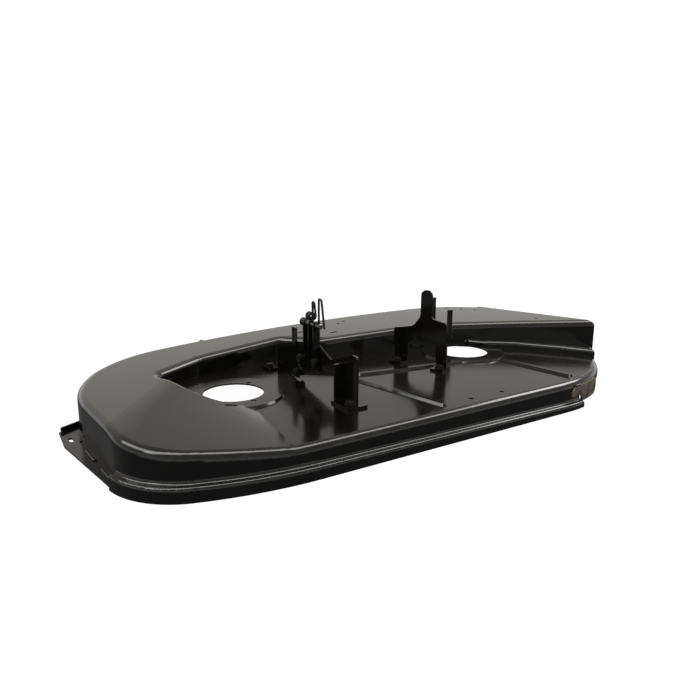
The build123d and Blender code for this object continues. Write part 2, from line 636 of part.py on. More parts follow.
def chute_hinge_bracket():
    """Tab with round ends that follows the rear wall and stands past its end, bored for the chute's hinge."""
    start, end = HINGE_DEG
    ring = Circle(REAR_REACH + FIT + HINGE_SHEET) - Circle(REAR_REACH + FIT)
    half_turn = (end - start) / 2
    length = 2 * REAR_REACH * sin(radians(half_turn))
    blank = hinge_plane(start + half_turn) * SlotOverall(length, HINGE_HEIGHT)
    body = extrude(blank, REAR_REACH / 4, both=True) & Pos(RIGHT.X, RIGHT.Y) * extrude(ring, ABOVE)
    over_rim = RIM_HEIGHT + FLARE_RADIUS - HINGE_LOW
    notch = Pos(HINGE_SHEET - length / 2, over_rim - HINGE_HEIGHT) * Box(length, HINGE_HEIGHT, REAR_REACH / 2)
    body -= hinge_plane(DISCHARGE_FROM_DEG) * notch
    return body - hinge_plane(hinge_eye_deg()) * Cylinder(HINGE_HOLE / 2, 10 * HINGE_SHEET)


# Fasteners

def hexagon(flats):
    """Hexagon by its width across flats."""
    return RegularPolygon(flats / 2, 6, major_radius=False)


def bolt(grip):
    """Hexagon bolt with its head's seat at the origin and its shank down."""
    head = extrude(hexagon(HEAD_FLATS), HEAD_HEIGHT)
    return head + Pos(0, 0, -(grip + BOLT_PAST) / 2) * Cylinder(BOLT / 2, grip + BOLT_PAST)


def nut(grip):
    """Hexagon nut under what the bolt clamps."""
    ring = hexagon(HEAD_FLATS) - Circle(BOLT / 2 + FIT)
    return extrude(Pos(0, 0, -grip - FIT) * ring, -NUT_HEIGHT)


def head_seat(y, height, sheet):
    """Place of a bolt head on a sheet that lies against the left bracket's web."""
    return Pos(left_face() - sheet - FIT, y, on_table(height)) * Rot(0, -90, 0)


def fasteners():
    """Each bolt with its nut, by name."""
    places = {}
    foot_grip = BRACKET_SHEET + SHEET + 2 * FIT
    for i, (x, y) in enumerate(LEFT_FOOT_BOLTS, 1):
        places[f"left_foot_{i}"] = (Pos(x, y, on_table(BRACKET_SHEET + FIT)), foot_grip)
    for i, spot in enumerate(RIGHT_FOOT_BOLTS, 1):
        point = right_spot(*spot)
        places[f"right_foot_{i}"] = (Pos(point.X, point.Y, on_table(BRACKET_SHEET + FIT)), foot_grip)
    web_grip = CHANNEL_SHEET + BRACKET_SHEET + 2 * FIT
    for i, (y, height) in enumerate(LEFT_WEB_BOLTS, 1):
        places[f"channel_{i}"] = (head_seat(y, height, CHANNEL_SHEET), web_grip)
    places["left_keeper"] = (head_seat(*KEEPER_BOLT, KEEPER_SHEET), web_grip)
    made = {}
    for name, (place, grip) in places.items():
        made[f"{name}_bolt"] = place * bolt(grip)
        made[f"{name}_nut"] = place * nut(grip)
    return made


def main():
    os.makedirs("parts", exist_ok=True)
    nodes = {
        "deck_shell": deck_shell(),
        "left_corner_plate": left_corner_plate(),
        "front_hanger_ear": front_hanger_ear(),
        "left_hanger_bracket": left_hanger_bracket(),
        "left_hanger_channel": left_hanger_channel(),
        "lift_pin": lift_pin(),
        "retainer_clip_inner": retainer_clip_inner(),
        "retainer_clip_outer": retainer_clip_outer(),
        "left_belt_keeper": left_belt_keeper(),
        "right_hanger_bracket": right_hanger_bracket(),
        "right_belt_keeper": right_belt_keeper(),
        "chute_hinge_bracket": chute_hinge_bracket(),
    }
    nodes.update(fasteners())
    box = Compound(children=[Part(n.wrapped) for n in nodes.values()]).bounding_box()
    centred = Pos(-box.center().X, -box.center().Y, -box.min.Z)
    for name, solid in nodes.items():
        solid = centred * solid
        export_step(solid, f"parts/{name}.step")
        print(name, len(solid.solids()), round(solid.volume), solid.is_valid)
    print(box)


if __name__ == "__main__":
    main()
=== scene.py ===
"""Looks of a ride-on mower's cutting deck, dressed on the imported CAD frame."""

import logging
import math
from dataclasses import dataclass
from enum import Enum
from typing import Any, Sequence

import bpy
import numpy as np
from mathutils import Matrix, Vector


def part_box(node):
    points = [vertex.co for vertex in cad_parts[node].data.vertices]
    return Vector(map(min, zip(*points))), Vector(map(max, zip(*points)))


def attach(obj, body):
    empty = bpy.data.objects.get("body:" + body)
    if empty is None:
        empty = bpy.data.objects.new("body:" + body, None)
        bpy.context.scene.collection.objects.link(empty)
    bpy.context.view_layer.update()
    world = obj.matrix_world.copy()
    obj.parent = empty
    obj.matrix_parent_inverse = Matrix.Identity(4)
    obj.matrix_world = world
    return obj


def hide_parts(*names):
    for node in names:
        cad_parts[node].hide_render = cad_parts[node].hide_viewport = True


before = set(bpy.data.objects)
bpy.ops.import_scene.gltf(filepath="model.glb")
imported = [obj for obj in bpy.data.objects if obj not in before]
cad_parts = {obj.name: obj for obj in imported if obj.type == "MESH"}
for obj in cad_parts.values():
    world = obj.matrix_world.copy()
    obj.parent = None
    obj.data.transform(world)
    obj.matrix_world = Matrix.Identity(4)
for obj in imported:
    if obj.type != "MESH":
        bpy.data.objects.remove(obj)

Colour = tuple[float, float, float, float]
Pair = tuple[float, float]
Triple = tuple[float, float, float]
ArrayPair = tuple[np.ndarray, np.ndarray]

LOG = logging.getLogger("mower_deck")
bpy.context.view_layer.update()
ROOT = "root"
CREST = "crest"
WHITE: Colour = (1.0, 1.0, 1.0, 1.0)
ACROSS: Triple = (1.0, 0.0, 0.0)
FORWARD: Triple = (0.0, 1.0, 0.0)
UPWARD: Triple = (0.0, 0.0, 1.0)
MM = 0.001

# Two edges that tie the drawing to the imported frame, in millimetres
PLATE_LEFT = -517.0
RIM_REAR = -273.0

# Merging and shading of CAD copies
MERGE_MM = 0.01
TIGHT_CREST_MM = 7.0
SHORT_SIDE_MM = 0.5
EDGE_SEGMENTS = 2
EDGE_ANGLE_DEG = 50.0
FLAT_WEIGHT = 80

# Tubes and their ends
TUBE_COLUMNS = 12
TIP_SHARE = 0.02
SHOULDER_SHARE = 0.8


class Slot(Enum):
    """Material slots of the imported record."""

    PAINT = "black_paint"
    OXIDE = "black_oxide"
    BRIGHT = "bright_steel"
    WIRE = "spring_wire"


def deck_shift() -> np.ndarray:
    """Offset from the drawing's frame, whose origin lies between the spindles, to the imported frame.

    Returns:
        The offset in metres, read from the corner plate's left edge and the rim's rear edge.
    """
    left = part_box("left_corner_plate")[0].x - PLATE_LEFT * MM
    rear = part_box("deck_shell")[0].y - RIM_REAR * MM
    return np.array([left, rear, 0.0])


SHIFT = deck_shift()


def placed(points: Sequence[Sequence[float]]) -> np.ndarray:
    """Points of the drawing in millimetres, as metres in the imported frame."""
    return np.asarray(points, float) * MM + SHIFT


# Shader expressions


@dataclass(frozen=True)
class Grain:
    """A noise pattern: cells in a metre, number and weight of finer layers, and a factor on each axis."""

    cells: float
    layers: float
    weight: float
    stretch: Triple = (1.0, 1.0, 1.0)


class Graph:
    """A node tree, and the one way that nodes are added to it."""

    def __init__(self, owner: bpy.types.Material | bpy.types.World) -> None:
        """Starts an empty tree.

        Args:
            owner: The material or the surround that the tree belongs to.
        """
        self.owner = owner
        owner.use_nodes = True
        self.tree = owner.node_tree
        self.tree.nodes.clear()

    def make(self, kind: str, settings: dict[str, Any], inputs: dict[Any, Any], out: Any = 0) -> "Term":
        """Adds a node, sets it up and links it.

        Args:
            kind: The node's type, without its ShaderNode prefix.
            settings: Properties that are set first. The key stops gives a ramp's places and colours.
            inputs: Values or terms by socket name or number.
            out: Name or number of the output that the term stands for.

        Returns:
            A term on that output.
        """
        node = self.tree.nodes.new("ShaderNode" + kind)
        for key, value in settings.items():
            if key == "stops":
                self._set_stops(node.color_ramp.elements, value)
            else:
                setattr(node, key, value)
        for key, value in inputs.items():
            if isinstance(value, Term):
                self.tree.links.new(value.socket, node.inputs[key])
            else:
                node.inputs[key].default_value = value
        return Term(self, node.outputs[out] if node.outputs else None)

    def _set_stops(self, ramp: Any, stops: Sequence[tuple[float, Colour]]) -> None:
        """Gives a ramp its stops. New ones start in the middle and are then moved.

        Args:
            ramp: The ramp's elements.
            stops: Places from 0 to 1, with their colours.
        """
        while len(ramp) < len(stops):
            ramp.new(0.5)
        for element, (place, colour) in zip(ramp, stops):
            element.position = place
            element.color = colour

    def place(self) -> "Term":
        """Object coordinates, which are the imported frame's metres."""
        return self.make("TexCoord", {}, {}, "Object")

    def noise(self, grain: Grain) -> "Term":
        """Noise between 0 and 1 over the object.

        Args:
            grain: The pattern.

        Returns:
            The noise's value.
        """
        spot = self.make("Mapping", {}, {"Vector": self.place(), "Scale": grain.stretch})
        inputs = {"Vector": spot, "Scale": grain.cells, "Detail": grain.layers, "Roughness": grain.weight}
        return self.make("TexNoise", {}, inputs)

    def attribute(self, name: str) -> "Term":
        """A number that the mesh carries on its faces."""
        return self.make("Attribute", {"attribute_name": name}, {}, "Fac")

    def step(self, value: "Term", span: Pair) -> "Term":
        """Smooth step of a value.

        Args:
            value: What is stepped.
            span: Where the step starts and ends.

        Returns:
            0 below the step and 1 above it.
        """
        settings = {"interpolation_type": "SMOOTHSTEP"}
        return self.make("MapRange", settings, {"Value": value, "From Min": span[0], "From Max": span[1]})

    def mix(self, factor: Any, first: Any, second: Any) -> "Term":
        """Mix of two colours. The node's colour sockets go by number, because their names repeat.

        Args:
            factor: 0 for the first colour, 1 for the second.
            first: A colour or a term.
            second: A colour or a term.

        Returns:
            The mixed colour.
        """
        return self.make("Mix", {"data_type": "RGBA"}, {0: factor, 6: first, 7: second}, 2)

    def bump(self, height: "Term", depth: float, strength: float) -> "Term":
        """Normal of a bumpy surface.

        Args:
            height: Relief between 0 and 1.
            depth: Metres from 0 to 1.
            strength: Share of the relief that is used.

        Returns:
            The normal.
        """
        return self.make("Bump", {}, {"Height": height, "Distance": depth, "Strength": strength})

    def finish(self, inputs: dict[str, Any]) -> bpy.types.Material:
        """Closes the material with one shader.

        Args:
            inputs: The shader's values and terms by socket name.

        Returns:
            The material.
        """
        shader = self.make("BsdfPrincipled", {}, inputs)
        self.make("OutputMaterial", {}, {"Surface": shader})
        return self.owner


class Term:
    """A socket in a shader expression."""

    def __init__(self, graph: Graph, socket: Any) -> None:
        """Wraps a socket.

        Args:
            graph: The tree that the socket is in.
            socket: The node's output.
        """
        self.graph = graph
        self.socket = socket

    def _math(self, operation: str, first: Any, second: Any) -> "Term":
        """Adds one Math node on two numbers or terms."""
        return self.graph.make("Math", {"operation": operation}, {0: first, 1: second})

    def __add__(self, other: Any) -> "Term":
        """Sum."""
        return self._math("ADD", self, other)

    __radd__ = __add__

    def __sub__(self, other: Any) -> "Term":
        """Difference."""
        return self._math("SUBTRACT", self, other)

    def __rsub__(self, other: Any) -> "Term":
        """Difference from a number."""
        return self._math("SUBTRACT", other, self)

    def __mul__(self, other: Any) -> "Term":
        """Product."""
        return self._math("MULTIPLY", self, other)

    __rmul__ = __mul__


# Finishes


@dataclass(frozen=True)
class BlackPaint:
    """Semi-gloss black coat: faint waves and peel, thin dust, a dust film on the roof that also paints in the
    roof's lighter sheen, rubbed crests and wear.

    A span is where a mask starts and is full. Dust values are shares of the dust's tone, and rough values are
    what a mask adds to the roughness.
    """

    name: str
    film_sheen_share: float = 0.0
    wear_share: float = 0.0
    colour: Colour = (0.0019, 0.0017, 0.0015, 1.0)
    roughness: float = 0.13
    ior: float = 1.45
    dust: Colour = (0.016, 0.0145, 0.0125, 1.0)
    cloud_grain: Grain = Grain(7.0, 4.0, 0.6)
    cloud_span: Pair = (0.45, 0.75)
    cloud_dust: float = 0.12
    cloud_rough: float = 0.02
    speck_grain: Grain = Grain(430.0, 2.0, 0.6)
    speck_span: Pair = (0.68, 0.76)
    speck_dust: float = 0.25
    smear_grain: Grain = Grain(34.0, 5.0, 0.65, (1.0, 0.25, 1.0))
    smear_span: Pair = (0.52, 0.78)
    smear_rough: float = 0.025
    # The roof film's tone is partly dust and partly painted sheen: it lightens the roof where the reflected
    # sheen is too weak.
    film_sheen: Colour = (0.02, 0.018, 0.0155, 1.0)
    film_sheen_height_m: Pair = (0.0835, 0.0885)
    film_sheen_even: float = 0.8
    film_sheen_cloud: float = 0.4
    film_sheen_rough: float = 0.06
    roof_slope: float = 0.0253
    rubbed: Colour = (0.04, 0.037, 0.033, 1.0)
    crest_span: Pair = (0.35, 0.95)
    rub_grain: Grain = Grain(60.0, 5.0, 0.7)
    rub_span: Pair = (0.5, 0.7)
    rub_share: float = 0.5
    rub_rough: float = 0.03
    bare: Colour = (0.1, 0.086, 0.066, 1.0)
    rust: Colour = (0.055, 0.042, 0.03, 1.0)
    rust_grain: Grain = Grain(210.0, 3.0, 0.6)
    rust_span: Pair = (0.35, 0.75)
    wear_grain: Grain = Grain(45.0, 5.0, 0.6)
    wear_span: Pair = (0.3, 0.62)
    wear_rough: float = 0.25
    wave_grain: Grain = Grain(16.0, 1.0, 0.4)
    peel_grain: Grain = Grain(700.0, 2.0, 0.5)
    peel_share: float = 0.015
    relief_m: float = 0.0002
    relief_share: float = 0.5

    def roof_film_sheen(self, g: Graph, cloud: Term) -> Term:
        """Mask of the dust film with its painted sheen: a lighter tone on the roof that stands in part for
        its reflected sheen, fading in with height over a level that follows the sloping roof.

        Args:
            g: The coat's tree.
            cloud: Noise that makes the film uneven.

        Returns:
            The mask.
        """
        across, height = (g.make("SeparateXYZ", {}, {0: g.place()}, axis) for axis in "XZ")
        level = g.step(height - self.roof_slope * across, self.film_sheen_height_m)
        return self.film_sheen_share * level * (self.film_sheen_even + self.film_sheen_cloud * cloud)

    def material(self) -> bpy.types.Material:
        """Mixes the coat's tones by their masks.

        Returns:
            The coat's material.
        """
        g = Graph(bpy.data.materials.new(self.name))
        cloud = g.noise(self.cloud_grain)
        specks = g.step(g.noise(self.speck_grain), self.speck_span)
        smears = g.step(g.noise(self.smear_grain), self.smear_span)
        settled = self.cloud_dust * g.step(cloud, self.cloud_span) + self.speck_dust * specks
        # Painted sheen together with the dust film: a lighter tone laid on the roof only.
        film_sheen = self.roof_film_sheen(g, cloud)
        crest = g.step(g.attribute(CREST), self.crest_span) * g.step(g.noise(self.rub_grain), self.rub_span)
        worn = self.wear_share * g.step(g.noise(self.wear_grain), self.wear_span)
        painted = g.mix(film_sheen, g.mix(settled, self.colour, self.dust), self.film_sheen)
        rubbed = g.mix(self.rub_share * crest, painted, self.rubbed)
        metal = g.mix(g.step(g.noise(self.rust_grain), self.rust_span), self.bare, self.rust)
        dulled = self.roughness + self.cloud_rough * cloud + self.smear_rough * smears
        waves, peel = g.noise(self.wave_grain), g.noise(self.peel_grain)
        relief = (1 - self.peel_share) * waves + self.peel_share * peel
        return g.finish({
            "Base Color": g.mix(worn, rubbed, metal),
            "Roughness": dulled + self.rub_rough * crest + self.film_sheen_rough * film_sheen + self.wear_rough * worn,
            "IOR": self.ior,
            "Normal": g.bump(relief, self.relief_m, self.relief_share),
        })


@dataclass(frozen=True)
class BareMetal:
    """Blackened, turned or drawn steel with a mottled tone and fine marks."""

    name: str
    colour: Colour
    shade: Colour
    roughness: float
    metallic: float
    ior: float = 1.45
    mottle_grain: Grain = Grain(260.0, 4.0, 0.6)
    mottle_span: Pair = (0.35, 0.7)
    mottle_rough: float = 0.12
    mark_grain: Grain = Grain(1500.0, 2.0, 0.5)
    mark_rough: float = 0.08
    relief_m: float = 0.00004
    relief_share: float = 0.4

    def material(self) -> bpy.types.Material:
        """Mixes the metal's two tones and cuts its marks.

        Returns:
            The metal's material.
        """
        g = Graph(bpy.data.materials.new(self.name))
        mottle = g.step(g.noise(self.mottle_grain), self.mottle_span)
        marks = g.noise(self.mark_grain)
        return g.finish({
            "Base Color": g.mix(mottle, self.colour, self.shade),
            "Roughness": self.roughness + self.mottle_rough * mottle + self.mark_rough * marks,
            "Metallic": self.metallic,
            "IOR": self.ior,
            "Normal": g.bump(marks, self.relief_m, self.relief_share),
        })


# Only the shell carries the roof's dust film with its painted sheen.
SHELL_PAINT = BlackPaint("black_paint_shell", film_sheen_share=1.0)
FITTING_PAINT = BlackPaint("black_paint")
WORN_PAINT = BlackPaint("black_paint_worn", wear_share=0.8)
BLACK_OXIDE = BareMetal(
    "black_oxide", (0.012, 0.0115, 0.011, 1.0), (0.005, 0.005, 0.005, 1.0), roughness=0.3, metallic=0.4,
    ior=1.25,
)
BRIGHT_STEEL = BareMetal(
    "bright_steel", (0.15, 0.146, 0.14, 1.0), (0.07, 0.068, 0.065, 1.0), roughness=0.2, metallic=1.0,
    mark_grain=Grain(1500.0, 2.0, 0.5, (1.0, 0.1, 1.0)),
)
SPRING_WIRE = BareMetal(
    "spring_wire", (0.008, 0.008, 0.008, 1.0), (0.016, 0.015, 0.014, 1.0), roughness=0.28, metallic=0.2,
    ior=1.25,
)


# Mesh making


def mesh_object(name: str, points: np.ndarray, faces: np.ndarray, crease_deg: float) -> bpy.types.Object:
    """An object at the origin from arrays of places and faces.

    Args:
        name: The piece's name.
        points: Rows of x, y and z in metres.
        faces: Rows of corner numbers, three or four in each.
        crease_deg: Edges that turn by more than this stay sharp.

    Returns:
        The linked object.
    """
    mesh = bpy.data.meshes.new(name)
    mesh.from_pydata(points.tolist(), [], faces.tolist())
    mesh.polygons.foreach_set("use_smooth", np.ones(len(mesh.polygons), bool))
    mesh.set_sharp_from_angle(angle=math.radians(crease_deg))
    mesh.update()
    piece = bpy.data.objects.new(name, mesh)
    bpy.context.scene.collection.objects.link(piece)
    return piece


def dressed(piece: bpy.types.Object, material: bpy.types.Material) -> bpy.types.Object:
    """Gives a piece its finish and lets it ride on the deck.

    Args:
        piece: The piece.
        material: Its material.

    Returns:
        The same piece.
    """
    piece.data.materials.clear()
    piece.data.materials.append(material)
    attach(piece, ROOT)
    LOG.info("%s: %d faces", piece.name, len(piece.data.polygons))
    return piece


def node_points(node: str) -> np.ndarray:
    """Places of a CAD node's mesh.

    Args:
        node: The CAD node.

    Returns:
        Rows of x, y and z in metres.
    """
    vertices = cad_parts[node].data.vertices
    places = np.empty(len(vertices) * 3, np.float32)
    vertices.foreach_get("co", places)
    return places.reshape(-1, 3).astype(float)


def crest_of(corners: np.ndarray, normals: np.ndarray) -> np.ndarray:
    """How convex each triangle of a mesh is, from 0 for flat or hollow to 1 for a tight crest.

    The bend along a side is the change of normal between its ends along the side, over the square of its
    length. A triangle gets the largest of its three bends, times the radius that counts as tight.

    Args:
        corners: Places in metres, three for each triangle.
        normals: Normals at those places.

    Returns:
        One number for each triangle.
    """
    along = np.roll(corners, -1, axis=1) - corners
    turn = np.roll(normals, -1, axis=1) - normals
    bend = (turn * along).sum(-1) / np.maximum((along ** 2).sum(-1), (SHORT_SIDE_MM * MM) ** 2)
    return np.clip(TIGHT_CREST_MM * MM * bend.max(1), 0.0, 1.0)


def merged_copy(node: str, name: str, crease_deg: float, curved: bool = False) -> bpy.types.Object:
    """A copy of a CAD node with its loose triangles joined, so that curved sheet shades smoothly.

    Corners that fall in the same small cell become one, and triangles that lose a side are dropped.

    Args:
        node: The CAD node.
        name: The copy's name.
        crease_deg: Edges that turn by more than this stay sharp.
        curved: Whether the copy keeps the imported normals, for smooth bends, and carries its crests.

    Returns:
        The copy.
    """
    source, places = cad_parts[node].data, node_points(node)
    corners = np.empty(len(source.loops), np.int32)
    source.loops.foreach_get("vertex_index", corners)
    cells = np.round(places / (MERGE_MM * MM)).astype(np.int64)
    _, first, number = np.unique(cells, axis=0, return_index=True, return_inverse=True)
    faces = number.reshape(-1)[corners].reshape(-1, 3)
    whole = (faces != np.roll(faces, -1, axis=1)).all(1)
    points, faces = places[first], faces[whole]
    piece = mesh_object(name, points, faces, crease_deg)
    if curved:
        normals = np.empty(len(source.loops) * 3, np.float32)
        source.corner_normals.foreach_get("vector", normals)
        normals = normals.reshape(-1, 3, 3)[whole]
        crest = piece.data.attributes.new(CREST, "FLOAT", "FACE")
        crest.data.foreach_set("value", crest_of(points[faces], normals))
        piece.data.normals_split_custom_set(normals.reshape(-1, 3).tolist())
    return piece


def eased(piece: bpy.types.Object, width_mm: float) -> None:
    """Breaks the sharp edges of sheet and keeps flat faces flat in shading.

    Args:
        piece: The piece.
        width_mm: Width of the broken edge.
    """
    bevel = piece.modifiers.new("broken_edges", "BEVEL")
    bevel.width = width_mm * MM
    bevel.segments = EDGE_SEGMENTS
    bevel.limit_method = "ANGLE"
    bevel.angle_limit = math.radians(EDGE_ANGLE_DEG)
    bevel.use_clamp_overlap = True
    flat = piece.modifiers.new("flat_faces", "WEIGHTED_NORMAL")
    flat.keep_sharp = True
    flat.weight = FLAT_WEIGHT


def grid_faces(rows: int, columns: int, wrap: bool) -> np.ndarray:
    """Quads of a grid of points, row by row.

    Args:
        rows: Number of rows.
        columns: Number of points in a row.
        wrap: Whether each row closes on itself.

    Returns:
        Rows of four corner numbers.
    """
    r, c = np.meshgrid(np.arange(rows - 1), np.arange(columns if wrap else columns - 1), indexing="ij")
    following = (c + 1) % columns
    here, above = r * columns, (r + 1) * columns
    return np.stack([here + c, here + following, above + following, above + c], -1).reshape(-1, 4)


def tube(path: np.ndarray, radius: np.ndarray, guide: Triple) -> ArrayPair:
    """A round tube along a path.

    Each path point carries a circle in the plane across the path there: centre + radius (cos u side +
    sin u over), where side is square to the path and to the guide, and over completes the frame.

    Args:
        path: Rows of x, y and z.
        radius: One radius for each row.
        guide: A direction that the path never follows.

    Returns:
        Places and quads.
    """
    along = np.gradient(path, axis=0)
    along /= np.linalg.norm(along, axis=1, keepdims=True)
    side = np.cross(along, np.broadcast_to(np.array(guide), along.shape))
    side /= np.linalg.norm(side, axis=1, keepdims=True)
    over = np.cross(side, along)
    u = np.linspace(0, 2 * np.pi, TUBE_COLUMNS, endpoint=False)
    ring = side[:, None] * np.cos(u)[None, :, None] + over[:, None] * np.sin(u)[None, :, None]
    places = path[:, None] + ring * radius[:, None, None]
    return places.reshape(-1, 3), grid_faces(len(path), TUBE_COLUMNS, True)[:, ::-1]


def joined(parts: Sequence[ArrayPair]) -> ArrayPair:
    """Several meshes as one.

    Args:
        parts: Places and quads of each.

    Returns:
        All places, and all quads with their numbers moved on.
    """
    counts = np.cumsum([0] + [len(places) for places, _ in parts[:-1]])
    places = np.concatenate([places for places, _ in parts])
    return places, np.concatenate([quads + start for (_, quads), start in zip(parts, counts)])


def domed(radius: float, count: int) -> np.ndarray:
    """Radii along a tube of even thickness whose ends round off over two rows.

    Args:
        radius: The tube's radius.
        count: Number of rows.

    Returns:
        The radii.
    """
    radii = np.full(count, radius)
    radii[[0, -1]] = radius * TIP_SHARE
    radii[[1, -2]] = radius * SHOULDER_SHARE
    return radii


def resampled(points: np.ndarray, count: int) -> np.ndarray:
    """Points at even steps along a broken line.

    Args:
        points: Rows of x, y and z.
        count: Number of points wanted.

    Returns:
        The points, by linear reading of each coordinate against the length so far.
    """
    length = np.concatenate([[0.0], np.cumsum(np.linalg.norm(np.diff(points, axis=0), axis=1))])
    at = np.linspace(0, length[-1], count)
    return np.stack([np.interp(at, length, points[:, axis]) for axis in range(3)], -1)


def rounded(points: np.ndarray, radius: float, steps: int = 8) -> np.ndarray:
    """A broken line with its inner corners rounded.

    Each corner becomes a quadratic curve between the points a radius before and after it:
    (1 - t) (1 - t) before + 2 t (1 - t) corner + t t after.

    Args:
        points: Rows of x, y and z.
        radius: How far before and after each corner the curve starts and ends.
        steps: Points on each curve.

    Returns:
        The rounded line's points.
    """
    corner, before, after = points[1:-1], points[:-2] - points[1:-1], points[2:] - points[1:-1]
    before = corner + before / np.linalg.norm(before, axis=1, keepdims=True) * radius
    after = corner + after / np.linalg.norm(after, axis=1, keepdims=True) * radius
    t = np.linspace(0, 1, steps)[None, :, None]
    curve = (1 - t) ** 2 * before[:, None] + 2 * t * (1 - t) * corner[:, None] + t ** 2 * after[:, None]
    return np.concatenate([points[:1], curve.reshape(-1, 3), points[-1:]])


# Sub-assemblies


@dataclass
class PressedShell:
    """The stamped sheet: its own CAD form with joined faces, smooth bends and paint."""

    node: str = "deck_shell"
    crease_deg: float = 60.0

    def build(self, paint: bpy.types.Material) -> None:
        """Builds and dresses the shell.

        Args:
            paint: The coat.
        """
        shell = merged_copy(self.node, "pressed_shell", self.crease_deg, curved=True)
        dressed(shell, paint)
        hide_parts(self.node)


@dataclass
class SheetFittings:
    """Plates, brackets and straps of cut and folded sheet."""

    nodes: tuple[str, ...] = (
        "left_corner_plate", "front_hanger_ear", "left_hanger_bracket", "left_hanger_channel",
        "left_belt_keeper", "right_hanger_bracket", "right_belt_keeper",
    )
    worn_nodes: tuple[str, ...] = ("chute_hinge_bracket",)
    crease_deg: float = 28.0
    edge_mm: float = 0.7

    def build(self, paint: bpy.types.Material, worn: bpy.types.Material) -> None:
        """Builds and dresses each fitting.

        Args:
            paint: The coat.
            worn: The coat where it is worn through.
        """
        for node in self.nodes + self.worn_nodes:
            piece = merged_copy(node, node + "_sheet", self.crease_deg)
            eased(piece, self.edge_mm)
            dressed(piece, worn if node in self.worn_nodes else paint)
            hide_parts(node)


@dataclass
class WeldBeads:
    """Fillet welds that hold the corner plate, front ear, right keeper and hinge tab to the shell.

    Places are the drawing's, in millimetres.
    """

    bead_mm: float = 1.9
    ripple_mm: float = 0.28
    ripple_pitch_mm: float = 2.6
    ripple_rows: int = 6
    end_rows: int = 8
    turn_points: int = 60
    crease_deg: float = 70.0
    spindle_x: float = 254.0
    plate_x: float = -494.9
    plate_z: float = 3.6
    plate_runs: tuple[Pair, ...] = ((-132.0, -84.0), (-48.0, -4.0))
    plate_radius: float = 240.9
    plate_turn_deg: Pair = (171.0, 158.0)
    ear_x: Pair = (-200.0, -194.0)
    ear_y: float = 233.9
    ear_z: Pair = (48.0, 76.0)
    keeper_foot: Pair = (266.975, 57.116)
    keeper_turn_deg: float = -19.5321
    keeper_half: float = 6.4
    keeper_out: float = 0.9
    keeper_z: Pair = (62.0, 84.0)
    hinge_radius: float = 263.0
    hinge_turn_deg: Pair = (-84.0, -80.6)
    hinge_z: float = 40.0

    def turned(self, middle_x: float, radius: float, span: Pair, height: float) -> np.ndarray:
        """Path on a level circle about a spindle: middle + radius (cos, sin) of an angle that runs evenly.

        Args:
            middle_x: The spindle's place across the deck.
            radius: The circle's radius.
            span: First and last angle in degrees.
            height: The circle's height.

        Returns:
            Rows of x, y and z.
        """
        turn = np.radians(np.linspace(*span, self.turn_points))
        level = np.full_like(turn, height)
        return np.column_stack([middle_x + radius * np.cos(turn), radius * np.sin(turn), level])

    def keeper_sides(self) -> list[np.ndarray]:
        """The keeper's two edges in plan: its foot, moved off the wall and then along it by half its width.

        Returns:
            The two places.
        """
        turn = math.radians(self.keeper_turn_deg)
        along = np.array([math.cos(turn), math.sin(turn)])
        off = np.array([math.sin(turn), -math.cos(turn)])
        middle = np.array(self.keeper_foot) + self.keeper_out * off
        return [middle + side * self.keeper_half * along for side in (-1, 1)]

    def paths(self) -> list[tuple[np.ndarray, Triple]]:
        """Every bead's path in the drawing, with a direction that it never follows.

        Returns:
            Pairs of a path's rows of x, y and z and its direction.
        """
        plate = [np.array([[self.plate_x, y, self.plate_z] for y in run]) for run in self.plate_runs]
        plate.append(self.turned(-self.spindle_x, self.plate_radius, self.plate_turn_deg, self.plate_z))
        ear = [np.array([[x, self.ear_y, z] for z in self.ear_z]) for x in self.ear_x]
        keeper = [np.array([[*spot, z] for z in self.keeper_z]) for spot in self.keeper_sides()]
        hinge = self.turned(self.spindle_x, self.hinge_radius, self.hinge_turn_deg, self.hinge_z)
        guided = [(path, UPWARD) for path in plate] + [(path, FORWARD) for path in ear + keeper]
        return [*guided, (hinge, UPWARD)]

    def bead(self, path: np.ndarray, guide: Triple) -> ArrayPair:
        """One bead: a tube whose radius swells along it with the size of a sine, and whose ends round off.

        Args:
            path: Its path in the drawing.
            guide: A direction that the path never follows.

        Returns:
            Places and quads.
        """
        length = np.linalg.norm(np.diff(path, axis=0), axis=1).sum()
        count = int(length / self.ripple_pitch_mm * self.ripple_rows) + self.end_rows
        at = np.linspace(0, length, count)
        radius = self.bead_mm + self.ripple_mm * np.abs(np.sin(np.pi * at / self.ripple_pitch_mm))
        radius *= domed(1.0, count)
        return tube(resampled(placed(path), count), radius * MM, guide)

    def build(self, paint: bpy.types.Material) -> None:
        """Builds and dresses all beads as one piece.

        Args:
            paint: The coat, which covers the welds too.
        """
        places, quads = joined([self.bead(path, guide) for path, guide in self.paths()])
        dressed(mesh_object("weld_beads", places, quads, self.crease_deg), paint)


